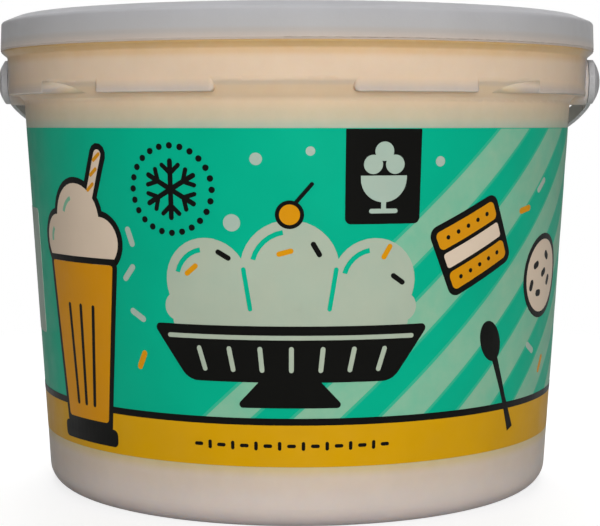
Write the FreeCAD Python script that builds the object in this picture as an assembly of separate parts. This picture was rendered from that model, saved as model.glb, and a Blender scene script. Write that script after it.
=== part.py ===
"""Five-quart ice cream pail: moulded tub with an in-mould label, press-fit lid and a swinging bail handle.

Millimetres. +Z is up, the origin is the middle of the foot ring, the label's front faces -Y and the handle's
hinge line runs along X. The tub is sealed and full, so it is one solid body up to the level of its contents.
"""

import FreeCAD
import Part

import math
import os

Vector = FreeCAD.Vector
ORIGIN = Vector(0, 0, 0)
X_AXIS = Vector(1, 0, 0)
Z_AXIS = Vector(0, 0, 1)

# ---- Overall sizes of the tub ----
BODY_HEIGHT = 141.1  # from the table to the foot of the shoulder
WALL_BASE_R = 93.3  # outside radius where the wall's line meets the table
WALL_SLOPE = 0.059  # radius gained for each millimetre of height

# ---- Foot ----
FOOT_CORNER_R = 7.5  # outside radius between the floor and the wall
FOOT_RING_WIDTH = 5.0  # flat ring that the pail stands on
BASE_LIFT = 1.6  # the floor panel is moulded up, clear of the table
BASE_SLOPE_WIDTH = 3.0  # radial width of the slope from the ring to the panel

# ---- Label, moulded flush into the wall ----
LABEL_BOTTOM = 21.3
LABEL_TOP_MARGIN = 9.3  # bare wall between the label and the shoulder
LABEL_THICKNESS = 0.3
LABEL_SEAM = 2.0  # bare strip at the back, where the label's ends nearly meet

# ---- Shoulder, collar and stacking lugs ----
SHOULDER_RISE = 6.2
SHOULDER_WIDTH = 5.6
SHOULDER_FILLET = 2.6
COLLAR_HEIGHT = 9.8
COLLAR_DRAFT = 0.4  # radius that the collar gains over its height
LUG_RISE = 2.2  # underside of the lugs above the foot of the shoulder
LUG_LIP = 0.35  # the lug's face flares out by this at its lower edge
LUG_LIP_HEIGHT = 2.4
LUG_EDGE_FILLET = 0.5
LUG_END_FILLET = 1.6
FRONT_LUG_START = 12.0  # degrees from the middle of the front
FRONT_LUG_END = 36.0
EAR_LUG_START = 51.0

# ---- Guard flange and rim, which the lid closes on ----
FLANGE_WIDTH = 2.1
FLANGE_RISE = 1.8  # height of the flange's sloped underside
FLANGE_EDGE = 0.5  # thickness of its outer edge
RIM_HEIGHT = 8.7
RIM_THICKNESS = 3.0
RIM_TAPER = 1.1  # the bead stands out from the neck by this
RIM_BEAD_DROP = 5.3  # from the top of the rim to the bead's underside
RIM_BEAD_HEIGHT = 3.0

# ---- Lid ----
LID_DRAFT = 0.4  # the lid's side is this much narrower at the top
LID_THICKNESS = 1.4
LID_CORNER_R = 1.2
LID_CAMBER = 2.4  # the ring's top rises by this from its outer edge to its crest
LID_CREST_WIDTH = 6.4  # from the outer edge in to the crest
LID_CREST_DROP = 0.6  # the ring falls by this from its crest to its inner edge
LID_SNAP_DEPTH = 0.8  # how far the snap bead stands in from the skirt
LID_SNAP_RISE = 0.8  # from the skirt's edge to the bead
LID_SNAP_HEIGHT = 0.9
LID_PANEL_DROP = 6.7  # from the top of the ring to the sunk panel
LID_STEP_R = 78.0  # the middle of the panel is raised to stiffen it
LID_STEP_HEIGHT = 0.9
LID_STEP_LEAN = 0.8

# ---- Ears of the tub and the hubs of the handle ----
HINGE_RISE = 7.7  # hinge line above the foot of the shoulder
EAR_PROUD = 0.6  # flat pad's face beyond the collar
EAR_PAD_R = 8.6
EAR_WALL = 3.8  # wall that the pin passes through
PIN_R = 3.5
PIN_HEAD_LIP = 1.0
PIN_HEAD_LENGTH = 2.6
HUB_R = 8.2
HUB_THICKNESS = 4.5
HUB_FACE_R = 2.7  # flat middle of the domed hub
HUB_DOME_R = 14.0

# ---- Strap of the handle ----
STRAP_THICKNESS = 1.6
STRAP_WIDTH = 6.4
STRAP_SLACK = 5.6  # how much further than the lid's edge the strap reaches
STRAP_STRAIGHT = 14.0  # straight run from the hinge line
STRAP_BLEND_R = 60.0  # bend between the straight run and the top arc
GRIP_WIDTH = 12.0
GRIP_LENGTH = 78.0
GRIP_TAPER = 22.0
HANG_ANGLE = 19.0  # degrees below level, at the back

# ---- Fits ----
ROOTING = 1.5  # how far a lug or pad reaches into the tub
GAP = 0.3  # between pieces that don't touch
PIN_CLEARANCE = 0.1  # radial running clearance of the hinge pin
SWEEP_GAP = 0.5  # between the strap and the side of the lid, which it swings past

# ---- Places that follow from the sizes above ----
LABEL_TOP = BODY_HEIGHT - LABEL_TOP_MARGIN
LUG_BOTTOM = BODY_HEIGHT + LUG_RISE
SHOULDER_TOP = BODY_HEIGHT + SHOULDER_RISE
HINGE_Z = BODY_HEIGHT + HINGE_RISE
FLANGE_ROOT = SHOULDER_TOP + COLLAR_HEIGHT
FLANGE_TOP = FLANGE_ROOT + FLANGE_RISE + FLANGE_EDGE
RIM_TOP = FLANGE_TOP + RIM_HEIGHT
LID_TOP = RIM_TOP + LID_THICKNESS + LID_CAMBER
COLLAR_R = WALL_BASE_R + WALL_SLOPE * BODY_HEIGHT + SHOULDER_WIDTH + COLLAR_DRAFT
FLANGE_R = COLLAR_R + FLANGE_WIDTH
LID_R = FLANGE_R + GAP
RIM_BEAD_R = LID_R - LID_THICKNESS - GAP
RIM_NECK_R = RIM_BEAD_R - RIM_TAPER
EAR_FACE = COLLAR_R + EAR_PROUD  # from the pail's axis
HUB_OUT = EAR_FACE + GAP + HUB_THICKNESS


def wall_radius(z):
    """Outside radius of the tub's tapered wall at height z."""
    return WALL_BASE_R + WALL_SLOPE * z


def section(corners):
    """Face in the XZ plane from (radius, height, fillet) corners, each fillet a tangent arc."""
    points = [Vector(r, 0, z) for r, z, _ in corners]
    count = len(points)
    ends = []
    for i, (_, _, fillet) in enumerate(corners):
        corner = points[i]
        back = (points[i - 1] - corner).normalize()
        ahead = (points[(i + 1) % count] - corner).normalize()
        if fillet <= 0:
            ends.append((corner, corner, corner))
            continue
        half = back.getAngle(ahead) / 2
        reach = fillet / math.tan(half)
        bisector = (back + ahead).normalize()
        middle = corner + bisector * (fillet / math.sin(half) - fillet)
        ends.append((corner + back * reach, middle, corner + ahead * reach))
    edges = []
    for i in range(count):
        start, middle, stop = ends[i]
        if not start.isEqual(stop, 1e-9):
            edges.append(Part.Arc(start, middle, stop).toShape())
        following = ends[(i + 1) % count][0]
        edges.append(Part.LineSegment(stop, following).toShape())
    return Part.Face(Part.Wire(edges))


def turned(corners, start=0.0, span=360.0):
    """Solid of revolution about Z, from start degrees counted anticlockwise from +X."""
    face = section(corners)
    face.rotate(ORIGIN, Z_AXIS, start)
    return face.revolve(ORIGIN, Z_AXIS, span)


def both_sides(shape):
    """The shape and its twin on the other side of the pail."""
    return [shape, shape.rotated(ORIGIN, Z_AXIS, 180)]


def rod_x(radius, start, stop):
    """Cylinder on the hinge line, between two distances from the pail's axis."""
    return Part.makeCylinder(radius, stop - start, Vector(start, 0, HINGE_Z), X_AXIS)


def collar_radius(z):
    """Outside radius of the collar's drafted face, which the lugs carry on downwards."""
    return COLLAR_R - COLLAR_DRAFT * (FLANGE_ROOT - z) / (FLANGE_ROOT - SHOULDER_TOP)


def stacking_lug(middle, span):
    """Block under the collar that holds nested empty pails apart, flush with the collar and flared at its foot."""
    root = wall_radius(LUG_BOTTOM) - ROOTING
    top = SHOULDER_TOP + ROOTING
    flare = LUG_BOTTOM + LUG_LIP_HEIGHT
    corners = [
        (root, LUG_BOTTOM, 0),
        (collar_radius(LUG_BOTTOM) + LUG_LIP, LUG_BOTTOM, LUG_EDGE_FILLET),
        (collar_radius(flare), flare, 0),
        (collar_radius(top), top, 0),
        (root, top, 0),
    ]
    lug = turned(corners, middle - span / 2, span)
    face = (root + collar_radius(flare)) / 2

    def upright(edge):
        """An edge of one of the lug's ends, on its outer face."""
        ends = [v.Point for v in edge.Vertexes]
        if len(ends) != 2 or min(math.hypot(p.x, p.y) for p in ends) < face:
            return False
        return abs(math.atan2(ends[0].y, ends[0].x) - math.atan2(ends[1].y, ends[1].x)) < 1e-6

    return lug.makeFillet(LUG_END_FILLET, [edge for edge in lug.Edges if upright(edge)])


def make_label():
    """Printed film, a sleeve flush with the wall and open along its seam at the back."""
    seam = math.degrees(LABEL_SEAM / wall_radius(LABEL_BOTTOM))
    low, high = wall_radius(LABEL_BOTTOM), wall_radius(LABEL_TOP)
    corners = [
        (low - LABEL_THICKNESS, LABEL_BOTTOM, 0),
        (low, LABEL_BOTTOM, 0),
        (high, LABEL_TOP, 0),
        (high - LABEL_THICKNESS, LABEL_TOP, 0),
    ]
    return turned(corners, 90 + seam / 2, 360 - seam)


def make_tub(label):
    """Tub with foot, shoulder, collar, lugs, guard flange, rim and ears, filled to just under the lid."""
    ring_in = WALL_BASE_R - FOOT_CORNER_R - FOOT_RING_WIDTH
    bead = RIM_TOP - RIM_BEAD_DROP
    rim_in = RIM_NECK_R - RIM_THICKNESS
    fill_top = LID_TOP - LID_PANEL_DROP - LID_THICKNESS - GAP
    corners = [
        (0, BASE_LIFT, 0),
        (ring_in - BASE_SLOPE_WIDTH, BASE_LIFT, 0.8),
        (ring_in, 0, 0.8),
        (WALL_BASE_R, 0, FOOT_CORNER_R),
        (wall_radius(BODY_HEIGHT), BODY_HEIGHT, SHOULDER_FILLET),
        (collar_radius(SHOULDER_TOP), SHOULDER_TOP, SHOULDER_FILLET),
        (COLLAR_R, FLANGE_ROOT, 0.8),
        (FLANGE_R, FLANGE_TOP - FLANGE_EDGE, 0),
        (FLANGE_R, FLANGE_TOP, 0),
        (RIM_NECK_R, FLANGE_TOP, 0),
        (RIM_NECK_R, bead - RIM_TAPER, 0),
        (RIM_BEAD_R, bead, 0),
        (RIM_BEAD_R, bead + RIM_BEAD_HEIGHT, 0.8),
        (RIM_NECK_R, RIM_TOP, 0),
        (rim_in, RIM_TOP, 0),
        (rim_in, fill_top, 0),
        (0, fill_top, 0),
    ]
    tub = turned(corners)
    added = []
    lug_middle = (FRONT_LUG_START + FRONT_LUG_END) / 2
    for end in (-90, 90):
        for side in (-1, 1):
            added.append(stacking_lug(end + side * lug_middle, FRONT_LUG_END - FRONT_LUG_START))
    for side in (0, 180):
        added.append(stacking_lug(side, 2 * (90 - EAR_LUG_START)))
    pad = rod_x(EAR_PAD_R, wall_radius(HINGE_Z) - ROOTING, EAR_FACE)
    added += both_sides(pad)
    tub = tub.fuse(added)
    pocket_floor = EAR_FACE - EAR_WALL - PIN_HEAD_LENGTH - 2 * GAP
    bore = rod_x(PIN_R + PIN_CLEARANCE, pocket_floor, EAR_FACE + ROOTING)
    pocket = rod_x(PIN_R + PIN_HEAD_LIP + GAP, pocket_floor, EAR_FACE - EAR_WALL)
    cut = both_sides(bore.fuse(pocket))
    return tub.cut([label, *cut]).removeSplitter()


def make_lid():
    """Press-fit lid: ring that caps the rim, skirt with a snap bead, plug wall and a sunk panel with a raised middle."""
    plug_out = RIM_NECK_R - RIM_THICKNESS - GAP
    plug_in = plug_out - LID_THICKNESS
    panel = LID_TOP - LID_PANEL_DROP
    raised = panel + LID_STEP_HEIGHT
    skirt_in = LID_R - LID_THICKNESS
    skirt_bottom = FLANGE_TOP + GAP
    snap_in = skirt_in - LID_SNAP_DEPTH
    snap_bottom = skirt_bottom + LID_SNAP_RISE
    snap_top = snap_bottom + LID_SNAP_HEIGHT
    corners = [
        (skirt_in, skirt_bottom, 0),
        (LID_R, skirt_bottom, 0.5),
        (LID_R - LID_DRAFT, LID_TOP - LID_CAMBER, LID_CORNER_R),
        (LID_R - LID_CREST_WIDTH, LID_TOP, 1.2),
        (plug_in, LID_TOP - LID_CREST_DROP, 0.4),
        (plug_in, panel, 1.2),
        (LID_STEP_R + LID_STEP_LEAN, panel, 0.6),
        (LID_STEP_R, raised, 0.6),
        (0, raised, 0),
        (0, raised - LID_THICKNESS, 0),
        (LID_STEP_R, raised - LID_THICKNESS, 0),
        (LID_STEP_R + LID_STEP_LEAN, panel - LID_THICKNESS, 0),
        (plug_out, panel - LID_THICKNESS, 0),
        (plug_out, RIM_TOP, 0),
        (skirt_in, RIM_TOP, 0),
        (skirt_in, snap_top + LID_SNAP_DEPTH, 0),
        (snap_in, snap_top, 0),
        (snap_in, snap_bottom, 0),
    ]
    return turned(corners)


def strap_half(side):
    """One half of the strap as a face in the handle's own plane: across is X, and along, from the hinge line, is Y.

    Its line is a three-centred arch: a straight run from the hub, a bend, and an arc over the lid.
    """
    span = LID_R + SWEEP_GAP
    reach = math.hypot(LID_R, LID_TOP - HINGE_Z) + STRAP_SLACK
    bend_x = span - STRAP_BLEND_R
    rest = reach - STRAP_STRAIGHT
    arc_r = (bend_x**2 + rest**2 - STRAP_BLEND_R**2) / (2 * (rest - STRAP_BLEND_R))
    arc_y = reach - arc_r
    turn = math.atan2(STRAP_STRAIGHT - arc_y, bend_x)

    def on_circle(centre_x, centre_y, radius, angle):
        return Vector(side * (centre_x + radius * math.cos(angle)), centre_y + radius * math.sin(angle), 0)

    def line(offset):
        foot = Vector(side * (span + offset), 0, 0)
        bend = [on_circle(bend_x, STRAP_STRAIGHT, STRAP_BLEND_R + offset, a) for a in (0, turn / 2, turn)]
        middle = (turn + math.pi / 2) / 2
        arc = [on_circle(0, arc_y, arc_r + offset, a) for a in (turn, middle, math.pi / 2)]
        return [
            Part.LineSegment(foot, bend[0]).toShape(),
            Part.Arc(*bend).toShape(),
            Part.Arc(*arc).toShape(),
        ]

    inner, outer = line(0), line(STRAP_THICKNESS)
    ends = [
        Part.LineSegment(Vector(side * span, 0, 0), Vector(side * (span + STRAP_THICKNESS), 0, 0)).toShape(),
        Part.LineSegment(Vector(0, reach, 0), Vector(0, reach + STRAP_THICKNESS, 0)).toShape(),
    ]
    return Part.Face(Part.Wire(Part.__sortEdges__([*inner, *outer, *ends])))


def strap_side_view(depth):
    """The strap's width along its length, wider at the grip, as a prism that trims it."""
    half, wide = STRAP_WIDTH / 2, GRIP_WIDTH / 2
    reach = HUB_OUT + ROOTING
    flat, taper_end = GRIP_LENGTH / 2, GRIP_LENGTH / 2 + GRIP_TAPER
    quarter = [(reach, half), (taper_end, half), (flat, wide)]
    upper = quarter + [(-x, z) for x, z in reversed(quarter)]
    outline = upper + [(x, -z) for x, z in reversed(upper)]
    points = [Vector(x, 0, z) for x, z in outline]
    face = Part.Face(Part.makePolygon([*points, points[0]]))
    prism = face.extrude(Vector(0, depth, 0))
    bends = [
        edge
        for edge in prism.Edges
        if abs(edge.Length - depth) < 1e-6 and abs(edge.Vertexes[0].X) < taper_end + ROOTING
    ]
    return prism.makeFillet(GRIP_TAPER / 2, bends)


def hub():
    """Domed hub at one end of the strap, with the headed pin that snaps into the ear."""
    inner = EAR_FACE + GAP
    head = EAR_FACE - EAR_WALL - GAP
    tip = head - PIN_HEAD_LENGTH
    dome_middle = HUB_OUT - math.sqrt(HUB_DOME_R**2 - HUB_FACE_R**2)

    def at(radius, out):
        return Vector(out, radius, 0)

    def on_dome(radius):
        return at(radius, dome_middle + math.sqrt(HUB_DOME_R**2 - radius**2))

    outline = [
        (0, tip),
        (PIN_R, tip),
        (PIN_R + PIN_HEAD_LIP, tip + PIN_HEAD_LENGTH / 2),
        (PIN_R + PIN_HEAD_LIP, head),
        (PIN_R, head),
        (PIN_R, inner),
        (HUB_R, inner),
    ]
    points = [at(*p) for p in outline] + [on_dome(HUB_R)]
    face_edge, face_middle = at(HUB_FACE_R, HUB_OUT), at(0, HUB_OUT)
    edges = [Part.LineSegment(a, b).toShape() for a, b in zip(points, points[1:])]
    edges.append(Part.Arc(points[-1], on_dome((HUB_R + HUB_FACE_R) / 2), face_edge).toShape())
    edges.append(Part.LineSegment(face_edge, face_middle).toShape())
    edges.append(Part.LineSegment(face_middle, points[0]).toShape())
    return Part.Face(Part.Wire(edges)).revolve(ORIGIN, X_AXIS, 360)


def make_handle():
    """Bail: two hubs with pins, and the strap between them, hanging behind the pail."""
    room = GRIP_WIDTH + 2 * ROOTING
    halves = []
    for side in (-1, 1):
        half = strap_half(side)
        half.translate(Vector(0, 0, -room / 2))
        halves.append(half.extrude(Vector(0, 0, room)))
    band = halves[0].fuse(halves[1]).removeSplitter()
    depth = band.BoundBox.YMax + ROOTING
    handle = band.common(strap_side_view(depth)).fuse(both_sides(hub())).removeSplitter()
    handle.rotate(ORIGIN, X_AXIS, -HANG_ANGLE)
    handle.translate(Vector(0, 0, HINGE_Z))
    return handle


def main():
    """Builds every node and writes it as STEP."""
    os.makedirs("parts", exist_ok=True)
    label = make_label()
    nodes = {
        "tub": make_tub(label),
        "label": label,
        "lid": make_lid(),
        "handle": make_handle(),
    }
    for name, shape in nodes.items():
        solid = shape.Solids[0] if len(shape.Solids) == 1 else shape
        solid.exportStep(f"parts/{name}.step")
        box = solid.BoundBox
        print(
            name,
            f"solids {len(shape.Solids)} valid {solid.isValid()} volume {solid.Volume:.0f}",
            f"x {box.XMin:.2f} {box.XMax:.2f} y {box.YMin:.2f} {box.YMax:.2f} z {box.ZMin:.2f} {box.ZMax:.2f}",
        )


main()
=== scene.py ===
"""Looks of a five-quart ice cream pail: moulded plastics, printed in-mould label, soft light and camera.

The tub, its label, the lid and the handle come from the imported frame. The label's print is made here, as
ink layers a few hundredths of a millimetre thick that follow the tapered wall. So are two small moulded
forms: the lip under the lid's skirt, and the ramps at the ends of the ear lugs.
"""

import math
import random

import bmesh
import bpy
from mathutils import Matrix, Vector


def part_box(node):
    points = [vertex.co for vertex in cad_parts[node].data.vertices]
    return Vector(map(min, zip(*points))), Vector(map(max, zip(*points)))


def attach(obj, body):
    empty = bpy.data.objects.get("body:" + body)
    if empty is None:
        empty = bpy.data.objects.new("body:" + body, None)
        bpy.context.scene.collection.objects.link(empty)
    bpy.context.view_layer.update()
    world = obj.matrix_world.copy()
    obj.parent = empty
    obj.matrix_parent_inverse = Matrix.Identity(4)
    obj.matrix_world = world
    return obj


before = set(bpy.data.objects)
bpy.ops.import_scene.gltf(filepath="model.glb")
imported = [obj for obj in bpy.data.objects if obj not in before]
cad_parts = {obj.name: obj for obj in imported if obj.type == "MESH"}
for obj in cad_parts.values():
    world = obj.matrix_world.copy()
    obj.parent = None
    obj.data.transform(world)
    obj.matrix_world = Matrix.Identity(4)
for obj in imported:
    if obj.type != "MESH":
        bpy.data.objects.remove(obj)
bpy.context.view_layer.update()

MM = 0.001


# ---- Sizes in millimetres, read from the frame or measured up from it ----

label_low, label_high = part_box("label")
lid_low, lid_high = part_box("lid")
_, handle_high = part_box("handle")

LABEL_BOTTOM = label_low.z / MM
LABEL_TOP = label_high.z / MM
TOP_RADIUS = label_high.x / MM  # outside radius of the label's upper edge
TAPER = 0.059  # radius that the wall loses for each millimetre down
LID_BOTTOM = lid_low.z / MM
LID_TOP = lid_high.z / MM
LID_RADIUS = lid_high.x / MM
SHOULDER_FOOT = LABEL_TOP + 9.3  # above a strip of bare wall
SHOULDER_TOP = SHOULDER_FOOT + 6.2
SHOULDER_WIDTH = 5.6
LUG_BOTTOM = SHOULDER_FOOT + 2.2  # underside of the stacking lugs
EAR_LUG_START = 51.0  # degrees from the front and from the back
HUB_THICKNESS = 4.5
HUB_GAP = 0.3  # between a hub and its ear
EAR_FACE = handle_high.x / MM - HUB_THICKNESS - HUB_GAP  # the ears' flat faces, from the pail's middle


def wall_radius(height):
    """Outside radius of the label at a height."""
    return TOP_RADIUS - TAPER * (LABEL_TOP - height)


PRINT_RADIUS = wall_radius((LABEL_BOTTOM + LABEL_TOP) / 2)  # distances along the print are true here


# ---- Colours ----

TEAL = "#00AB87"
MINT = "#74B899"
SEA = "#35B08D"
CREAM = "#A7B5A2"
PEARL = "#A2B7A9"
MILK = "#DCC8B2"
GOLD = "#D19C03"
AMBER = "#D48F04"
BLACK = "#0D0D0B"


def linear(hex_code):
    """Linear colour of an sRGB hex value."""
    channels = [int(hex_code[i : i + 2], 16) / 255 for i in (1, 3, 5)]
    return (*[c / 12.92 if c <= 0.04045 else ((c + 0.055) / 1.055) ** 2.4 for c in channels], 1.0)


# ---- What the materials are made from ----


def add_node(tree, kind, settings=None, inputs=None):
    """Adds a shader node; an input is a value or another node's output."""
    node = tree.nodes.new(kind)
    for name, value in (settings or {}).items():
        setattr(node, name, value)
    for name, value in (inputs or {}).items():
        if isinstance(value, bpy.types.NodeSocket):
            tree.links.new(value, node.inputs[name])
        else:
            node.inputs[name].default_value = value
    return node


def new_material(name):
    """Empty node material: returns it, its tree and the object's own coordinates."""
    material = bpy.data.materials.new(name)
    material.use_nodes = True
    tree = material.node_tree
    tree.nodes.clear()
    place = add_node(tree, "ShaderNodeTexCoord").outputs["Object"]
    return material, tree, place


def uneven(tree, place, size_mm, low, high, detail=2.0, roughness=0.5, swing=(0.3, 0.7)):
    """Value that wanders between low and high, in patches about size_mm across.

    swing is the stretch of the raw pattern that is spread over that range.
    """
    inputs = {"Vector": place, "Scale": 1 / (size_mm * MM), "Detail": detail, "Roughness": roughness}
    patches = add_node(tree, "ShaderNodeTexNoise", None, inputs).outputs["Fac"]
    inputs = {"Value": patches, "From Min": swing[0], "From Max": swing[1], "To Min": low, "To Max": high}
    return add_node(tree, "ShaderNodeMapRange", None, inputs).outputs["Result"]


def clouded(tree, place, colour, size_mm, low, high, detail=3.0):
    """Colour whose brightness wanders between two shares, in clouds about size_mm across."""
    value = uneven(tree, place, size_mm, low, high, detail)
    return add_node(tree, "ShaderNodeHueSaturation", None, {"Color": colour, "Value": value}).outputs["Color"]


def by_height(tree, place, stops):
    """Colour that changes with height above the table; stops are (millimetres, hex)."""
    low, high = stops[0][0], stops[-1][0]
    height = add_node(tree, "ShaderNodeSeparateXYZ", None, {"Vector": place}).outputs["Z"]
    inputs = {"Value": height, "From Min": low * MM, "From Max": high * MM, "To Min": 0.0, "To Max": 1.0}
    level = add_node(tree, "ShaderNodeMapRange", None, inputs).outputs["Result"]
    ramp = add_node(tree, "ShaderNodeValToRGB", None, {"Fac": level})
    ramp.color_ramp.interpolation = "EASE"
    elements = ramp.color_ramp.elements
    while len(elements) < len(stops):
        elements.new(0.5)
    for element, (at, hex_code) in zip(elements, stops):
        element.position = (at - low) / (high - low)
        element.color = linear(hex_code)
    return ramp.outputs["Color"]


def relief(tree, place, *layers):
    """Moulded unevenness; each layer is (millimetres across, detail, roughness, depth in millimetres)."""
    normal = None
    for size_mm, detail, roughness, depth_mm in layers:
        inputs = {"Vector": place, "Scale": 1 / (size_mm * MM), "Detail": detail, "Roughness": roughness}
        height = add_node(tree, "ShaderNodeTexNoise", None, inputs).outputs["Fac"]
        inputs = {"Height": height, "Distance": depth_mm * MM, "Strength": 1.0}
        if normal is not None:
            inputs["Normal"] = normal
        normal = add_node(tree, "ShaderNodeBump", None, inputs).outputs["Normal"]
    return normal


def finish_plastic(
    tree, colour, roughness, normal, ior, shine=0.5, haze=0.0, glow=0.0, depth_mm=3.0, tint=(1.0, 0.6, 0.4)
):
    """Ends a plastic's tree.

    shine is the level of its reflections, haze a waxy brightening at its edges, glow how much light wanders
    below the surface, depth_mm how far it goes, and tint how far each colour of it goes.
    """
    inputs = {
        "Base Color": colour,
        "Roughness": roughness,
        "Normal": normal,
        "IOR": ior,
        "Specular IOR Level": shine,
        "Sheen Weight": haze,
        "Subsurface Weight": glow,
        "Subsurface Radius": tint,
        "Subsurface Scale": depth_mm * MM,
    }
    shader = add_node(tree, "ShaderNodeBsdfPrincipled", None, inputs)
    add_node(tree, "ShaderNodeOutputMaterial", None, {"Surface": shader.outputs["BSDF"]})


def dress(piece, material):
    """Gives a piece one material."""
    piece.data.materials.clear()
    piece.data.materials.append(material)


def add_piece(name, mesh, material):
    """Makes an object of the scene from a finished mesh, in one material."""
    data = bpy.data.meshes.new(name)
    mesh.to_mesh(data)
    mesh.free()
    piece = bpy.data.objects.new(name, data)
    bpy.context.scene.collection.objects.link(piece)
    dress(piece, material)
    return piece


# ---- Plastics and inks ----

POLYPROPYLENE_IOR = 1.49
POLYETHYLENE_IOR = 1.51
TWO_COLOURS = {"data_type": "RGBA"}  # a Mix node's colour sockets are 6 and 7, its share 0, and 2 comes out


def hollow_places(tree, place):
    """Where no ice cream lies behind the plastic, from 0 to 1: the lower lips of the lugs, and the ears."""
    parts = add_node(tree, "ShaderNodeSeparateXYZ", None, {"Vector": place}).outputs
    level = add_node(tree, "ShaderNodeCombineXYZ", None, {"X": parts["X"], "Y": parts["Y"]}).outputs["Vector"]
    out = add_node(tree, "ShaderNodeVectorMath", {"operation": "LENGTH"}, {0: level}).outputs["Value"]
    aside = add_node(tree, "ShaderNodeMath", {"operation": "ABSOLUTE"}, {0: parts["X"]}).outputs["Value"]
    shares = []
    for measure, start, stop, first, last in (
        (out, TOP_RADIUS + 4.2, TOP_RADIUS + 5.4, 0.0, 0.8),  # proud of the shoulder
        (parts["Z"], LUG_BOTTOM + 1.2, LUG_BOTTOM + 4.2, 1.0, 0.0),  # close above the lugs' underside
        (aside, EAR_FACE - 7.5, EAR_FACE - 1.0, 0.0, 1.0),  # out on the ears
    ):
        inputs = {"Value": measure, "From Min": start * MM, "From Max": stop * MM}
        inputs |= {"To Min": first, "To Max": last}
        shares.append(add_node(tree, "ShaderNodeMapRange", None, inputs).outputs["Result"])
    proud, low, ears = shares
    lips = add_node(tree, "ShaderNodeMath", {"operation": "MULTIPLY"}, {0: proud, 1: low}).outputs["Value"]
    return add_node(tree, "ShaderNodeMath", {"operation": "MAXIMUM"}, {0: lips, 1: ears}).outputs["Value"]


def moulded_polypropylene_tub():
    """Injection-moulded natural polypropylene with ice cream frozen to its back: warm, milky and satin.

    The foot is painted cooler and pinker than the collar, as light bounced up from the floor, and darker
    at its very bottom. The print's colours are painted into the bare wall beside the label, as their glow
    through the plastic, and the flange under the lid is painted a deeper ochre, as the shade under the lid's
    overhang warmed by light through the plastic. Spots of frost lie behind the wall.
    """
    material, tree, place = new_material("moulded_polypropylene_tub")
    stops = [
        # painted light bounced up from the floor: the foot cooler and pinker, and darker at its very bottom
        (0, "#C3B7B5"),
        (9, "#D2C5BC"),
        (17, "#D1C0B0"),
        # painted glow of the print's gold and teal into the bare wall beside the label
        (LABEL_BOTTOM - 0.5, "#CFB98C"),
        (LABEL_TOP + 0.5, "#B1B9A4"),
        (LABEL_TOP + 4, "#C6BA9F"),
        (LABEL_TOP + 9, "#D6BEA0"),
        (LID_BOTTOM - 16, "#E2C6A4"),
        (LID_BOTTOM - 11, "#DCC4AA"),
        (LID_BOTTOM - 6, "#DCC4AA"),
        # painted shade under the lid's overhang, warmed to ochre as painted light through the plastic
        (LID_BOTTOM - 3.6, "#D5B48C"),
        (LID_BOTTOM - 1.6, "#D4B07C"),
        (LID_BOTTOM - 0.5, "#C9A067"),
    ]
    bare, frost_white = linear("#BDB3AD"), linear("#EADBC8")
    colour = by_height(tree, place, stops)
    hollow = {0: hollow_places(tree, place), 6: colour, 7: bare}
    colour = add_node(tree, "ShaderNodeMix", TWO_COLOURS, hollow).outputs[2]
    colour = clouded(tree, place, colour, size_mm=26, low=0.955, high=1.03)
    spots = {"detail": 4.0, "roughness": 0.6, "swing": (0.35, 0.75)}
    frost = uneven(tree, place, size_mm=5, low=0.0, high=0.10, **spots)
    colour = add_node(tree, "ShaderNodeMix", TWO_COLOURS, {0: frost, 6: colour, 7: frost_white}).outputs[2]
    gloss = uneven(tree, place, size_mm=9, low=0.34, high=0.46)
    # Slow waves of shrinkage, and the mould's spark-eroded skin, drawn coarser than it is so that it shows
    normal = relief(tree, place, (14, 1.0, 0.5, 0.35), (0.9, 2.0, 0.5, 0.012))
    look = {"shine": 0.25, "glow": 0.35, "depth_mm": 4.0, "tint": (1.0, 0.62, 0.38)}
    finish_plastic(tree, colour, gloss, normal, POLYPROPYLENE_IOR, **look)
    return material


def moulded_polyethylene_lid():
    """Injection-moulded low-density polyethylene: neutral, cloudy and waxy, warmer where the rim shows."""
    material, tree, place = new_material("moulded_polyethylene_lid")
    stops = [
        (LID_BOTTOM, "#D0BFB2"),
        (LID_BOTTOM + 1.2, "#C2B6AD"),
        (LID_BOTTOM + 2.6, "#B8B1AC"),
        (LID_BOTTOM + 4.2, "#B8B6B6"),
        (LID_TOP, "#B4B4B8"),
    ]
    colour = clouded(tree, place, by_height(tree, place, stops), size_mm=30, low=0.96, high=1.03)
    gloss = uneven(tree, place, size_mm=7, low=0.30, high=0.50, detail=3.0)
    # Slow waves of shrinkage, and scuffs from stacking
    normal = relief(tree, place, (18, 2.0, 0.5, 0.30), (2.2, 4.0, 0.7, 0.05))
    look = {"shine": 0.4, "haze": 0.15, "glow": 0.4, "depth_mm": 5.0, "tint": (1.0, 0.9, 0.85)}
    finish_plastic(tree, colour, gloss, normal, POLYETHYLENE_IOR, **look)
    return material


def moulded_polypropylene_handle():
    """Injection-moulded natural polypropylene with no ice cream behind it: greyer, clearer than the tub."""
    material, tree, place = new_material("moulded_polypropylene_handle")
    colour = clouded(tree, place, linear("#B0AFB0"), size_mm=12, low=0.96, high=1.04, detail=2.0)
    gloss = uneven(tree, place, size_mm=4, low=0.26, high=0.36)
    # The mould's skin, drawn coarser than it is so that it shows
    normal = relief(tree, place, (1.6, 2.0, 0.5, 0.008))
    look = {"glow": 0.25, "depth_mm": 1.0, "tint": (1.0, 0.95, 0.9)}
    finish_plastic(tree, colour, gloss, normal, POLYPROPYLENE_IOR, **look)
    return material


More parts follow.
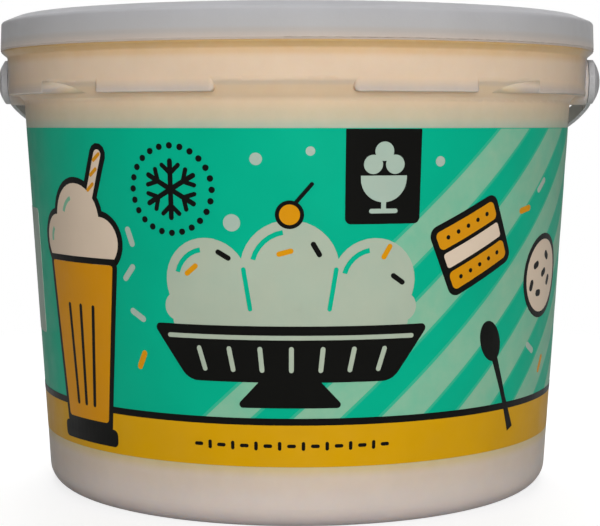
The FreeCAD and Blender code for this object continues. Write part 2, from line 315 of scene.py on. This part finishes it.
def printed_ink(name, hex_code, thin=0.0):
    """Offset-printed ink under the satin film of an in-mould label: even colour below a soft gloss.

    thin is how far the ink lets the warm ice cream show: pale inks are half-tones, dark ones cover.
    """
    material, tree, place = new_material(name)
    cream = linear("#D8C2A6")
    colour = clouded(tree, place, linear(hex_code), size_mm=24, low=0.965, high=1.03)
    spots = {"detail": 4.0, "roughness": 0.6, "swing": (0.3, 0.8)}
    patch = uneven(tree, place, size_mm=10, low=0.0, high=thin, **spots)
    colour = add_node(tree, "ShaderNodeMix", TWO_COLOURS, {0: patch, 6: colour, 7: cream}).outputs[2]
    gloss = uneven(tree, place, size_mm=8, low=0.36, high=0.46)
    # The wall's own waves, and its skin, again drawn coarser than it is
    normal = relief(tree, place, (14, 1.0, 0.5, 0.30), (0.9, 2.0, 0.5, 0.010))
    finish_plastic(tree, colour, gloss, normal, POLYPROPYLENE_IOR, shine=0.12)
    return material


INKS = {
    "teal": printed_ink("printed_teal_ink", TEAL),
    "mint": printed_ink("printed_mint_ink", MINT, 0.20),
    "sea": printed_ink("printed_sea_ink", SEA),
    "cream": printed_ink("printed_cream_ink", CREAM, 0.12),
    "pearl": printed_ink("printed_pearl_ink", PEARL, 0.10),
    "milk": printed_ink("printed_milk_ink", MILK, 0.10),
    "gold": printed_ink("printed_gold_ink", GOLD, 0.02),
    "amber": printed_ink("printed_amber_ink", AMBER, 0.02),
    "black": printed_ink("printed_black_ink", BLACK),
}
TUB_PLASTIC = moulded_polypropylene_tub()
LID_PLASTIC = moulded_polyethylene_lid()
HANDLE_PLASTIC = moulded_polypropylene_handle()

dress(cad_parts["tub"], TUB_PLASTIC)
dress(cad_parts["label"], INKS["teal"])
dress(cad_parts["lid"], LID_PLASTIC)
dress(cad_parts["handle"], HANDLE_PLASTIC)


# ---- Two small moulded forms, in millimetres ----

LIP_INSET = 0.05  # the lip's outside, in from the lid's
LIP_BACK = 1.3  # its inside, in from the lid's outside
LIP_ROOT = 0.1  # it reaches this far up into the skirt
LIP_DROP = 0.29  # and this far down, to the flange
LIP_STEPS = 256

RAMP_ROOT = 1.3  # degrees by which a ramp starts inside its lug
RAMP_SPAN = 14.0  # degrees over which it sinks into the shoulder
RAMP_STEPS = 24
RAMP_SHY = 0.1  # its face lies this far inside the lug's and the collar's
RAMP_SUNK = 0.25  # its far end lies this deep under the shoulder
RAMP_BACK = 0.8  # its back lies this deep all along
RAMP_CROWN = 1.1  # its upper edge lies this far above the shoulder's


def close_lid_gap():
    """The skirt's lower lip, which rests on the flange: it fills the clearance that the frame keeps there."""
    outer, inner = LID_RADIUS - LIP_INSET, LID_RADIUS - LIP_BACK
    upper, lower = LID_BOTTOM + LIP_ROOT, LID_BOTTOM - LIP_DROP
    mesh = bmesh.new()
    loops = []
    for radius, height in ((inner, upper), (outer, upper), (outer, lower), (inner, lower)):
        loop = []
        for k in range(LIP_STEPS):
            a = 2 * math.pi * k / LIP_STEPS
            loop.append(mesh.verts.new(Vector((radius * math.cos(a), radius * math.sin(a), height)) * MM))
        loops.append(loop)
    for i, loop in enumerate(loops):
        following = loops[(i + 1) % len(loops)]
        for k in range(LIP_STEPS):
            n = (k + 1) % LIP_STEPS
            mesh.faces.new((loop[k], loop[n], following[n], following[k]))
    bmesh.ops.recalc_face_normals(mesh, faces=mesh.faces[:])
    lip = add_piece("lid_skirt_lip", mesh, LID_PLASTIC)
    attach(lip, "pail")


def soften_ear_lugs():
    """Moulded ramps that let each end of the two ear lugs sink into the shoulder."""
    low = LUG_BOTTOM - 0.01  # a hair below the lug, so that the two undersides don't share a plane
    foot_radius = wall_radius(SHOULDER_FOOT)
    shoulder = foot_radius + SHOULDER_WIDTH * (low - SHOULDER_FOOT) / (SHOULDER_TOP - SHOULDER_FOOT)
    face, sunk = foot_radius + SHOULDER_WIDTH - RAMP_SHY, shoulder - RAMP_SUNK
    mesh = bmesh.new()
    for side in (-1, 1):
        for end in (-1, 1):
            rings = []
            for k in range(RAMP_STEPS + 1):
                run = k / RAMP_STEPS
                proud = (1 - run) ** 2 * (1 + 2 * run)  # from 1 to 0, level at both ends
                a = math.radians(EAR_LUG_START + RAMP_ROOT - RAMP_SPAN * run)
                out = Vector((side * math.sin(a), end * math.cos(a), 0))
                reach = sunk + (face - sunk) * proud
                corners = [(shoulder - RAMP_BACK, low), (reach, low), (face, SHOULDER_TOP + RAMP_CROWN)]
                points = [(out * radius + Vector((0, 0, z))) * MM for radius, z in corners]
                rings.append([mesh.verts.new(point) for point in points])
            mesh.faces.new(rings[0])
            mesh.faces.new(rings[-1])
            for ring, following in zip(rings, rings[1:]):
                for i in range(3):
                    j = (i + 1) % 3
                    side_face = mesh.faces.new((ring[i], ring[j], following[j], following[i]))
                    side_face.smooth = i == 1  # the outer side is one smooth sweep
    bmesh.ops.recalc_face_normals(mesh, faces=mesh.faces[:])
    ramps = add_piece("ear_lug_ramps", mesh, TUB_PLASTIC)
    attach(ramps, "pail")


# ---- The print: flat outlines in millimetres, along the wall and up from the table ----

INK = 0.035  # thickness of one layer; later layers lie on earlier ones
HAIR = 0.0004  # step between outlines of one piece of ink that overlap
SUNK = 0.02  # the ink's back is in the film, so no light passes under it
STRIP = 2.5  # the print is cut into strips this wide, so that it follows the round wall

GROUND, BASE, FILL, DETAIL, TOP = 1, 3, 4, 5, 6  # layers, from the film up

BAND_TOP = LABEL_BOTTOM + 14.2
RULE_TOP = BAND_TOP + 2.1
EDGE = 0.25  # bare film along the label's upper edge
BOTTOM_EDGE = 0.03  # and along its lower edge
SEAM = math.pi * PRINT_RADIUS - 1.5  # the print ends just short of the label's seam, both ways
TUCK = 0.5  # the stripes start this far under the rule
RULE_OVERLAP = 0.2  # and the rule this far over the band

STRIPE_LEAN = 42.3  # degrees from level
STRIPE_WIDTH = 16.2  # measured level, as the pitch is
STRIPE_PITCH = 30.0
STRIPE_BLEED = 1.1  # soft edge of the half-tone, on each side
FIRST_STRIPE = 75.6  # at the label's top edge
LAST_STRIPE = 256.0  # no stripe starts beyond this

OUTLINE = 2.1  # black line round each drawing
FROST_RADIUS = 14.2  # the dotted ring and its star are drawn for this radius, and scaled for another
LOOSE_SIZE = (7, 2.1)  # length and width of the sprinkles between the drawings


def turn(points, degrees, centre=(0, 0)):
    """Outline turned anticlockwise about a centre."""
    c, s = math.cos(math.radians(degrees)), math.sin(math.radians(degrees))
    u0, z0 = centre
    return [(u0 + (u - u0) * c - (z - z0) * s, z0 + (u - u0) * s + (z - z0) * c) for u, z in points]


def move(points, along, up):
    """Outline shifted along the wall and up."""
    return [(u + along, z + up) for u, z in points]


def arc(u, z, radius, start, stop, step=10):
    """Points on an arc, in degrees, anticlockwise if stop is more than start."""
    count = max(2, round(abs(stop - start) / step) + 1)
    angles = [math.radians(start + (stop - start) * i / (count - 1)) for i in range(count)]
    return [(u + radius * math.cos(a), z + radius * math.sin(a)) for a in angles]


def disc(u, z, radius):
    """Round spot."""
    return arc(u, z, radius, 0, 350)


def rounded(corners):
    """Outline with rounded corners, from (along, up, radius) in order."""
    points = []
    count = len(corners)
    for i, (u, z, radius) in enumerate(corners):
        here = Vector((u, z))
        back = (Vector(corners[i - 1][:2]) - here).normalized()
        ahead = (Vector(corners[(i + 1) % count][:2]) - here).normalized()
        if radius <= 0:
            points.append((u, z))
            continue
        half = back.angle(ahead) / 2
        reach = radius / math.tan(half)
        centre = here + (back + ahead).normalized() * (radius / math.sin(half))
        first, last = here + back * reach - centre, here + ahead * reach - centre
        start = math.atan2(first.y, first.x)
        sweep = math.atan2(first.x * last.y - first.y * last.x, first.dot(last))
        steps = max(2, round(abs(math.degrees(sweep)) / 12))
        for k in range(steps + 1):
            a = start + sweep * k / steps
            points.append((centre.x + radius * math.cos(a), centre.y + radius * math.sin(a)))
    return points


def box(u0, z0, u1, z1, radius=0.0):
    """Upright box with equal rounded corners."""
    return rounded([(u0, z0, radius), (u1, z0, radius), (u1, z1, radius), (u0, z1, radius)])


def capsule(u0, z0, u1, z1, width):
    """Round-ended bar between two points."""
    angle = math.degrees(math.atan2(z1 - z0, u1 - u0))
    r = width / 2
    return arc(u1, z1, r, angle - 90, angle + 90, 30) + arc(u0, z0, r, angle + 90, angle + 270, 30)


def on_wall(along, up, lift):
    """Point of the pail, in metres, for a place on the print."""
    angle = along / PRINT_RADIUS
    radius = wall_radius(up) + lift
    return Vector((radius * math.sin(angle), -radius * math.cos(angle), up)) * MM


def stroke(u, z, radius, start, stop, width):
    """Curved stroke; the radius is that of its outer edge."""
    return arc(u, z, radius, start, stop) + arc(u, z, radius - width, stop, start)


def sprinkle(u, z, lean, length=5.6, width=1.7):
    """Small round-ended bar, turned about its own middle."""
    half = (length - width) / 2
    return turn(capsule(u - half, z, u + half, z, width), lean, (u, z))


def print_ink(name, outlines, ink, layer):
    """Prints outlines as one piece of ink that rides on the pail; each outline lies a hair above the last."""
    mesh = bmesh.new()
    for i, outline in enumerate(outlines):
        mesh.faces.new([mesh.verts.new((u, z, HAIR * i)) for u, z in outline])
    bmesh.ops.recalc_face_normals(mesh, faces=mesh.faces)
    for face in mesh.faces:
        if face.normal.z < 0:
            face.normal_flip()
    bmesh.ops.triangulate(mesh, faces=mesh.faces[:])
    front = bmesh.ops.extrude_face_region(mesh, geom=mesh.faces[:], use_keep_orig=True)
    for item in front["geom"]:
        if isinstance(item, bmesh.types.BMVert):
            item.co.z += INK * layer
    bmesh.ops.recalc_face_normals(mesh, faces=mesh.faces[:])
    reach = [v.co.x for v in mesh.verts]
    for k in range(math.ceil(min(reach) / STRIP), math.floor(max(reach) / STRIP) + 1):
        everything = mesh.verts[:] + mesh.edges[:] + mesh.faces[:]
        bmesh.ops.bisect_plane(mesh, geom=everything, plane_co=(k * STRIP, 0, 0), plane_no=(1, 0, 0))
    for vert in mesh.verts:
        vert.co = on_wall(vert.co.x, vert.co.y, vert.co.z - SUNK)
    piece = add_piece(name, mesh, INKS[ink])
    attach(piece, "pail")


def make_stripes():
    """Pale diagonal stripes from the rule to the label's top edge, with half-tone along their sides."""
    foot, top = RULE_TOP - TUCK, LABEL_TOP - EDGE
    shift = (top - foot) / math.tan(math.radians(STRIPE_LEAN))
    for name, ink, layer, bleed in (
        ("label_stripe_edges", "sea", GROUND, STRIPE_BLEED),
        ("label_stripes", "mint", GROUND + 1, -STRIPE_BLEED / 3),
    ):
        outlines = []
        at = FIRST_STRIPE
        while at <= LAST_STRIPE:
            left, right = at - bleed, at + STRIPE_WIDTH + bleed
            outlines.append([(left - shift, foot), (right - shift, foot), (right, top), (left, top)])
            at += STRIPE_PITCH
        print_ink(name, outlines, ink, layer)


def make_bands():
    """Gold band along the label's foot, with a black rule over it."""
    print_ink("label_gold_band", [box(-SEAM, LABEL_BOTTOM + BOTTOM_EDGE, SEAM, BAND_TOP)], "gold", GROUND)
    print_ink("label_black_rule", [box(-SEAM, BAND_TOP - RULE_OVERLAP, SEAM, RULE_TOP)], "black", GROUND + 2)


def make_scoops():
    """Middle of the front: three frilled scoops in a long footed dish, with a fruit on top and sprinkles."""
    middle = 1.5
    balls = [(-26, 82.5, 14.0), (29, 82.5, 14.0), (middle, 86.5, 16.0)]  # (along, up, radius)
    scoops = []
    for u, z, radius in balls:
        scoops.append(disc(u, z, radius))
        for side in (-0.72, 0, 0.72):  # the frill round the foot of a scoop, in shares of its radius
            scoops.append(disc(u + side * radius, z - 0.62 * radius, 0.34 * radius))
    scoops.append(box(-38, 67, 41, 77, radius=2))
    print_ink("label_scoops", scoops, "cream", BASE)
    shades = [stroke(u, z, radius - 3.0, 100, 165, width=1.6) for u, z, radius in balls]
    for u, lean in ((-12.4, 9), (15.4, -9)):  # the clefts between the scoops
        shades.append(turn(capsule(u, 73.5, u, 86.5, width=1.5), lean, (u, 80)))
    print_ink("label_scoop_shades", shades, "teal", FILL)
    dish = rounded([(-46, 68, 1.5), (-33, 49.5, 7), (36, 49.5, 7), (49, 68, 1.5)])
    stand = rounded([(-17, 41, 1.2), (20, 41, 1.2), (11, 50.5, 1.5), (-8, 50.5, 1.5)])
    print_ink("label_dish", [dish, stand], "black", FILL)
    lines = [capsule(-39.5, 64.2, 42.5, 64.2, width=1.5)]
    for u in range(-28, 33, 10):  # flutes that fan out from the dish's middle
        lines.append(turn(capsule(u, 53.5, u, 60.5, width=1.6), -0.55 * (u - middle), (u, 57)))
    print_ink("label_dish_lines", lines, "cream", DETAIL)
    fruit, fruit_radius = (middle, 104.2), 4.6
    stalk = capsule(2.5, 107, 8.5, 114, width=1.3)
    print_ink("label_fruit_line", [disc(*fruit, fruit_radius), stalk], "black", DETAIL)
    print_ink("label_fruit", [disc(*fruit, fruit_radius - 1.3)], "amber", TOP)
    warm = [(-31, 86, 40), (33, 92, 60), (0, 92, 15)]  # (along, up, lean in degrees)
    dark = [(-20, 91, -30), (37, 83, -35), (10, 93, -60)]
    print_ink("label_scoop_sprinkles", [sprinkle(*spot) for spot in warm], "amber", DETAIL)
    print_ink("label_scoop_sprinkles_dark", [sprinkle(*spot) for spot in dark], "black", DETAIL)


def make_dotted_ring(name, u, z, radius, ink):
    """Ring of dots round a six-armed frost star."""
    unit = radius / FROST_RADIUS
    dots = []
    for i in range(24):
        a = math.radians(15 * i)
        dots.append(disc(u + radius * math.cos(a), z + radius * math.sin(a), 1.05 * unit))
    print_ink(f"{name}_dots", dots, ink, BASE)
    arm = [capsule(u, z, u + 9.2 * unit, z, 1.7 * unit)]
    for side in (-1, 1):  # the two barbs
        arm.append(capsule(u + 5.2 * unit, z, u + 7.9 * unit, z + side * 2.9 * unit, 1.5 * unit))
    star = [turn(line, 60 * i + 30, (u, z)) for i in range(6) for line in arm]
    print_ink(f"{name}_star", star, ink, BASE)


def make_hanging_tab():
    """Upper right: black tab that hangs from the label's edge, with a pale glass of ice cream on it."""
    left, right, low, high = 19.0, 44.0, 101.0, LABEL_TOP - EDGE
    tab = rounded([(left, low, 2), (right, low, 2), (right, high, 0.3), (left, high, 0.3)])
    print_ink("label_tab", [tab], "black", BASE)
    u, rim, half = (left + right) / 2, 116.6, 7.6
    bowl = arc(u, rim - 1, half, 180, 360) + [(u + half, rim), (u - half, rim)]
    stem = capsule(u, 105.6, u, 109.5, width=1.6)
    foot = capsule(u - 4, 105.2, u + 4, 105.2, width=1.5)
    balls = [disc(u + aside, z, 3.1) for aside, z in ((-3.6, 120.2), (3.6, 120.2), (0, 124.4))]
    print_ink("label_tab_glass", [bowl, stem, foot, *balls], "pearl", FILL)


def make_tall_glass():
    """Far left: tall fluted amber glass with a head of cream and a banded straw, drawn with a heavy line."""
    middle, low, rim = -80.5, 25.0, 88.0
    foot_half, rim_half = 13.5, 20.5
    straw_foot, straw_tip, straw_width = (middle + 5, 100), (middle + 13.5, 123), 7.6
    puffs = [(middle - 12.5, 93.5, 8.6), (middle + 12.5, 93.5, 8.6), (middle, 100.5, 12.6)]

    cup = [(-foot_half, low), (foot_half, low), (rim_half, rim), (-rim_half, rim)]
    line = [capsule(*straw_foot, *straw_tip, straw_width)]
    line += [disc(u, z, radius + OUTLINE) for u, z, radius in puffs]
    line.append(rounded([(middle + aside, z, 3) for aside, z in cup]))
    line.append(box(middle - foot_half - 3, low - 1.5, middle + foot_half + 3, low + 4.5, radius=2))
    print_ink("label_glass_line", line, "black", BASE)

    straw = capsule(*straw_foot, *straw_tip, straw_width - 2 * OUTLINE)
    print_ink("label_glass_straw", [straw], "milk", FILL)
    bands = []
    for share in (0.5, 0.72, 0.94):  # of the way up the straw
        u = straw_foot[0] + share * (straw_tip[0] - straw_foot[0])
        z = straw_foot[1] + share * (straw_tip[1] - straw_foot[1])
        bands.append(capsule(u - 1.3, z - 0.5, u + 1.3, z + 1.5, width=1.3))
    print_ink("label_glass_straw_bands", bands, "amber", DETAIL)
    cream = [box(middle - 14, rim - 1, middle + 14, rim + 9), *[disc(*puff) for puff in puffs]]
    print_ink("label_glass_cream", cream, "milk", DETAIL)

    slope = (rim_half - foot_half) / (rim - low)
    inner_foot, inner_rim = low + 6.5, rim - OUTLINE
    foot_reach = foot_half + slope * (inner_foot - low) - OUTLINE
    rim_reach = foot_half + slope * (inner_rim - low) - OUTLINE
    body = [
        (middle - foot_reach, inner_foot, 1.5),
        (middle + foot_reach, inner_foot, 1.5),
        (middle + rim_reach, inner_rim, 1.0),
        (middle - rim_reach, inner_rim, 1.0),
    ]
    print_ink("label_glass_body", [rounded(body)], "amber", TOP)
    lip = capsule(middle - rim_reach - 0.8, rim - 1, middle + rim_reach + 0.8, rim - 1, OUTLINE)
    flutes = [capsule(middle + k * 5.0, low + 12, middle + k * 7.2, rim - 17, width=1.6) for k in (-1, 0, 1)]
    print_ink("label_glass_flutes", [lip, *flutes], "black", TOP + 1)

    curls = []
    for (u, z, radius), inset, start, stop in ((puffs[2], 4.0, 110, 160), (puffs[0], 3.2, 130, 190)):
        curls.append(stroke(u, z, radius - inset, start, stop, width=1.4))
    print_ink("label_glass_curls", curls, "mint", TOP)


def make_sandwich():
    """Right: tilted ice cream sandwich between two wafers."""
    u, z, lean = 66.0, 93.0, 24.0
    wide, tall, wafer, gap = 30.0, 25.0, 6.4, 1.4
    first_hole, hole_pitch, hole_radius = 4.2, 4.4, 0.75

    def place(outline):
        """Puts an outline that is drawn about the sandwich's middle where it belongs."""
        return turn(move(outline, u, z), lean, (u, z))

    line = box(-wide / 2, -tall / 2, wide / 2, tall / 2, radius=3.5)
    print_ink("label_sandwich_line", [place(line)], "black", FILL)
    inner, edge = wide / 2 - OUTLINE, tall / 2 - OUTLINE
    wafers = [
        box(-inner, edge - wafer, inner, edge, radius=1.8),
        box(-inner, -edge, inner, -edge + wafer, radius=1.8),
    ]
    print_ink("label_sandwich_wafers", [place(outline) for outline in wafers], "amber", DETAIL)
    filling = box(-inner + 0.4, -edge + wafer + gap, inner - 0.4, edge - wafer - gap, radius=1.0)
    print_ink("label_sandwich_filling", [place(filling)], "milk", DETAIL)
    holes = []
    for i in range(5):
        for level in (edge - wafer / 2, -edge + wafer / 2):
            holes.append(place(disc(-inner + first_hole + hole_pitch * i, level, hole_radius)))
    print_ink("label_sandwich_holes", holes, "black", TOP)


def make_spoon():
    """Right: long black spoon that leans across the rule and the band."""
    tip, lean = (91, 27), 24
    bowl = [(4.8 * math.cos(a), 7.4 * math.sin(a)) for a in [math.radians(10 * i) for i in range(36)]]
    shank = [(-1.7, 1), (1.7, 1), (1.0, 14), (1.5, 32), (-1.5, 32), (-1.0, 14)]
    parts = [turn(move(part, *tip), lean, tip) for part in (move(bowl, 0, 36), shank)]
    print_ink("label_spoon", parts, "black", BASE)


def make_biscuit():
    """Far right: round biscuit with dark chips."""
    u, z, radius = 109.0, 80.0, 15.0
    print_ink("label_biscuit_line", [disc(u, z, radius)], "black", BASE)
    print_ink("label_biscuit", [disc(u, z, radius - OUTLINE)], "milk", FILL)
    spots = [(-6, 4, 20), (3, 7, -40), (6, -2, 60), (-3, -6, 0), (-9, -3, 70), (1, 1, 30)]
    chips = [sprinkle(u + aside, z + up, lean, length=4.2, width=2.4) for aside, up, lean in spots]
    print_ink("label_biscuit_chips", chips, "black", DETAIL)


def make_small_drops():
    """Pale dots and loose sprinkles between the drawings, and a row of small marks on the band."""
    dots = [(-9, 122, 2.0), (8, 124.5, 1.5), (-17, 101.5, 2.8), (51, 121, 1.7)]
    print_ink("label_pale_dots", [disc(*dot) for dot in dots], "pearl", BASE)
    pale = [(-55, 84, 50), (-52, 70, -30), (-54, 96, -70), (103, 112, 40), (102, 55, -30)]
    print_ink("label_loose_sprinkles", [sprinkle(*spot, *LOOSE_SIZE) for spot in pale], "pearl", BASE)
    warm = [(-51, 55, 65), (92, 104, 10), (113, 48, 60)]
    print_ink("label_loose_sprinkles_warm", [sprinkle(*spot, *LOOSE_SIZE) for spot in warm], "amber", BASE)
    height = (LABEL_BOTTOM + BAND_TOP) / 2
    marks = [sprinkle(-30 + 4.0 * i, height, 90 if i % 2 else 0, length=3.0, width=1.2) for i in range(17)]
    print_ink("label_band_marks", marks, "black", BASE)


def make_back_panels():
    """Round the back: two bare pale panels, and sprinkles on the plain ground beside the seam."""
    panels = [(-168, 58, -114, 103), (-250, 46, -186, 120)]
    print_ink("label_bare_panels", [box(*panel, radius=2) for panel in panels], "pearl", BASE)
    clear = 6  # no sprinkle's middle lies this close beside a panel
    rng = random.Random(7)
    inks = {"pearl": [], "amber": []}
    for column in range(12):
        for row in range(4):
            u = -300 + 14.5 * column + rng.uniform(-3, 3)
            z = 50 + 22 * row + rng.uniform(-5, 5)
            if any(left - clear < u < right + clear for left, _, right, _ in panels):
                continue
            ink = rng.choice(("pearl", "pearl", "amber"))
            inks[ink].append(sprinkle(u, z, rng.uniform(0, 180), *LOOSE_SIZE))
    for ink, outlines in inks.items():
        print_ink(f"label_back_sprinkles_{ink}", outlines, ink, BASE)


close_lid_gap()
soften_ear_lugs()
make_stripes()
make_bands()
make_scoops()
make_dotted_ring("label_front_frost", -37.5, 112.0, FROST_RADIUS, "black")
make_hanging_tab()
make_tall_glass()
make_sandwich()
make_spoon()
make_biscuit()
make_small_drops()
make_back_panels()
make_dotted_ring("label_back_frost", 268.0, 84.0, 21.0, "pearl")


# ---- Camera ----

DISTANCE = 0.62  # metres from the pail's middle
EYE_HEIGHT = 0.1329  # metres above the table
CAMERA_AZIMUTH = 2.3  # degrees to the right of the label's middle
LOOK_DOWN = 4.848  # degrees
AIM_SIDEWAYS = 0.096  # degrees; the pail stands a hair left of the middle
LENS = 97.97  # millimetres
SENSOR = 36.0  # millimetres wide


def make_camera():
    """Eye level with the label's upper edge, just right of the label's middle, looking a few degrees down."""
    camera = bpy.data.objects.new("camera", bpy.data.cameras.new("camera"))
    camera.data.lens = LENS
    camera.data.sensor_width = SENSOR
    camera.data.clip_start = 0.01
    camera.data.clip_end = 50
    azimuth = math.radians(CAMERA_AZIMUTH)
    camera.location = (DISTANCE * math.sin(azimuth), -DISTANCE * math.cos(azimuth), EYE_HEIGHT)
    camera.rotation_euler = (math.radians(90 - LOOK_DOWN), 0, azimuth - math.radians(AIM_SIDEWAYS))
    bpy.context.scene.collection.objects.link(camera)
    bpy.context.scene.camera = camera


make_camera()


# ---- Floor, backdrop and light, in metres and watts ----

WHITE = linear("#FFFFFF")
PAPER = linear("#A8A8A8")
FLOOR_REACH = 6.0  # from the middle to each side
NEAR_GLOW = 0.78  # share of the backdrop's white that the floor adds to its own tone round the pail
FADE_START, FADE_END = 0.16, 0.45  # distances over which the floor turns into the white backdrop
FILL_LIGHT = 0.03  # strength of the even light from all round
MIRRORED = 0.2  # share of the white surround that the plastic mirrors
AIM_HEIGHT = 0.09  # the lamps look at the middle of the pail


def looked_at(tree):
    """How much of the white surround a ray sees: all, straight or through glass, and a little if mirrored.

    The rest stands for dark screens beside the pail, which keep the satin plastic's sides deep.
    """
    rays = add_node(tree, "ShaderNodeLightPath").outputs
    mirrored = {0: rays["Is Glossy Ray"], 1: MIRRORED}
    seen = add_node(tree, "ShaderNodeMath", {"operation": "MULTIPLY"}, mirrored).outputs["Value"]
    for kind in ("Is Camera Ray", "Is Transmission Ray"):
        either = {0: seen, 1: rays[kind]}
        seen = add_node(tree, "ShaderNodeMath", {"operation": "MAXIMUM"}, either).outputs["Value"]
    return seen


def make_floor():
    """Wide pale floor of matt paper: it takes a soft shadow, and fades into the white backdrop."""
    material, tree, place = new_material("matt_paper_floor")
    paper = add_node(tree, "ShaderNodeBsdfDiffuse", None, {"Color": PAPER}).outputs["BSDF"]
    added = {"Color": WHITE, "Strength": NEAR_GLOW}
    glow = add_node(tree, "ShaderNodeEmission", None, added).outputs["Emission"]
    near = add_node(tree, "ShaderNodeAddShader", None, {0: paper, 1: glow}).outputs["Shader"]
    far = add_node(tree, "ShaderNodeEmission", None, {"Color": WHITE, "Strength": 1.0}).outputs["Emission"]
    away = add_node(tree, "ShaderNodeVectorMath", {"operation": "LENGTH"}, {0: place}).outputs["Value"]
    inputs = {"Value": away, "From Min": FADE_START, "From Max": FADE_END, "To Min": 0.0, "To Max": 1.0}
    fade = add_node(tree, "ShaderNodeMapRange", None, inputs).outputs["Result"]
    shown = add_node(tree, "ShaderNodeMixShader", None, {0: fade, 1: near, 2: far}).outputs["Shader"]
    choice = add_node(tree, "ShaderNodeMixShader", None, {0: looked_at(tree), 1: paper, 2: shown})
    add_node(tree, "ShaderNodeOutputMaterial", None, {"Surface": choice.outputs["Shader"]})
    mesh = bmesh.new()
    bmesh.ops.create_grid(mesh, x_segments=1, y_segments=1, size=FLOOR_REACH)
    floor = add_piece("floor", mesh, material)


def make_world():
    """White backdrop to the eye, dim even fill for everything else."""
    world = bpy.data.worlds.new("studio")
    world.use_nodes = True
    bpy.context.scene.world = world
    tree = world.node_tree
    tree.nodes.clear()
    fill = add_node(tree, "ShaderNodeBackground", None, {"Color": WHITE, "Strength": FILL_LIGHT})
    white = add_node(tree, "ShaderNodeBackground", None, {"Color": WHITE, "Strength": 1.0})
    shown = {0: looked_at(tree), 1: fill.outputs["Background"], 2: white.outputs["Background"]}
    choice = add_node(tree, "ShaderNodeMixShader", None, shown)
    add_node(tree, "ShaderNodeOutputWorld", None, {"Surface": choice.outputs["Shader"]})


def softbox(name, azimuth, height, distance, size, power, glints=True):
    """Square area lamp that looks at the pail; azimuth is in degrees, and 0 is straight in front.

    A lamp without glints is a polarised one: it lights the colours but isn't mirrored in the film.
    """
    lamp = bpy.data.lights.new(name, "AREA")
    lamp.shape = "SQUARE"
    lamp.size = size
    lamp.energy = power
    stand = bpy.data.objects.new(name, lamp)
    a = math.radians(azimuth)
    stand.location = (distance * math.sin(a), -distance * math.cos(a), height)
    aim = Vector((0, 0, AIM_HEIGHT)) - stand.location
    stand.rotation_euler = aim.to_track_quat("-Z", "Y").to_euler()
    stand.visible_glossy = glints
    stand.visible_camera = False
    bpy.context.scene.collection.objects.link(stand)


bpy.context.scene.view_settings.view_transform = "Standard"
make_floor()
make_world()
softbox("front_softbox", azimuth=8, height=0.30, distance=1.6, size=0.7, power=21.5, glints=False)
softbox("front_glint", azimuth=4, height=0.95, distance=1.5, size=0.5, power=1.5)
softbox("top_softbox", azimuth=180, height=1.4, distance=0.4, size=1.0, power=15, glints=False)
softbox("back_softbox", azimuth=178, height=0.6, distance=1.7, size=1.0, power=14, glints=False)
